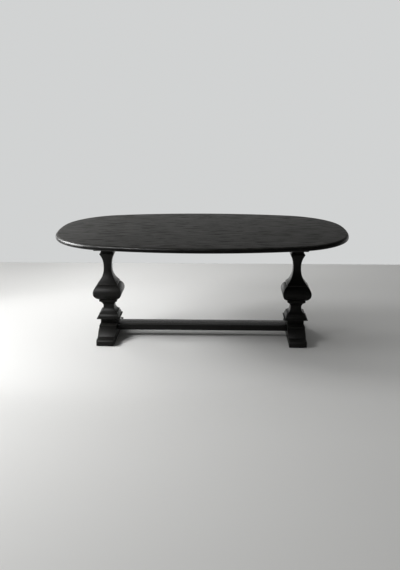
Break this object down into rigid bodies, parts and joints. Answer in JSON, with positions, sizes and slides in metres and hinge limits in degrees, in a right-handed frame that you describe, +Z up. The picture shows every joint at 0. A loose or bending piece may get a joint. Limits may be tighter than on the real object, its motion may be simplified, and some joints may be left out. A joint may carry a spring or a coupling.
{
  "type": "dining table",
  "caption": "Oval dining table in black-stained oak: plank top on square moulded baluster pedestals with sled feet, tied by a low flat stretcher.",
  "frame": {"origin": "On the floor, under the middle of the top.", "axes": "X along the length of the top, -Y towards the front, Z up."},
  "size_m": [2, 1.2, 0.78],
  "materials": {
    "black_oak": "black-stained oak under a satin lacquer",
    "pale_beech": "bare beech",
    "zinc_steel": "zinc plated",
    "felt": "pressed felt"
  },
  "bodies": {
    "root": {"top_board_1": "black_oak", "top_board_2": "black_oak", "top_board_3": "black_oak", "top_board_4": "black_oak", "top_board_5": "black_oak", "top_board_6": "black_oak", "top_board_7": "black_oak", "top_board_8": "black_oak", "top_tongues": "pale_beech", "stretcher": "black_oak", "riser_left": "black_oak", "base_left": "black_oak", "waist_left": "black_oak", "bulb_left": "black_oak", "neck_left": "black_oak", "capital_left": "black_oak", "bearer_left": "black_oak", "foot_left": "black_oak", "bolt_plugs_left": "black_oak", "pedestal_dowels_left": "pale_beech", "tie_rod_left": "zinc_steel", "tie_nuts_left": "zinc_steel", "tie_washers_left": "zinc_steel", "stretcher_bolts_left": "zinc_steel", "stretcher_washers_left": "zinc_steel", "stretcher_barrel_nuts_left": "zinc_steel", "top_screws_left": "zinc_steel", "top_washers_left": "zinc_steel", "floor_pads_left": "felt", "riser_right": "black_oak", "base_right": "black_oak", "waist_right": "black_oak", "bulb_right": "black_oak", "neck_right": "black_oak", "capital_right": "black_oak", "bearer_right": "black_oak", "foot_right": "black_oak", "bolt_plugs_right": "black_oak", "pedestal_dowels_right": "pale_beech", "tie_rod_right": "zinc_steel", "tie_nuts_right": "zinc_steel", "tie_washers_right": "zinc_steel", "stretcher_bolts_right": "zinc_steel", "stretcher_washers_right": "zinc_steel", "stretcher_barrel_nuts_right": "zinc_steel", "top_screws_right": "zinc_steel", "top_washers_right": "zinc_steel", "floor_pads_right": "felt"}
  },
  "joints": []
}
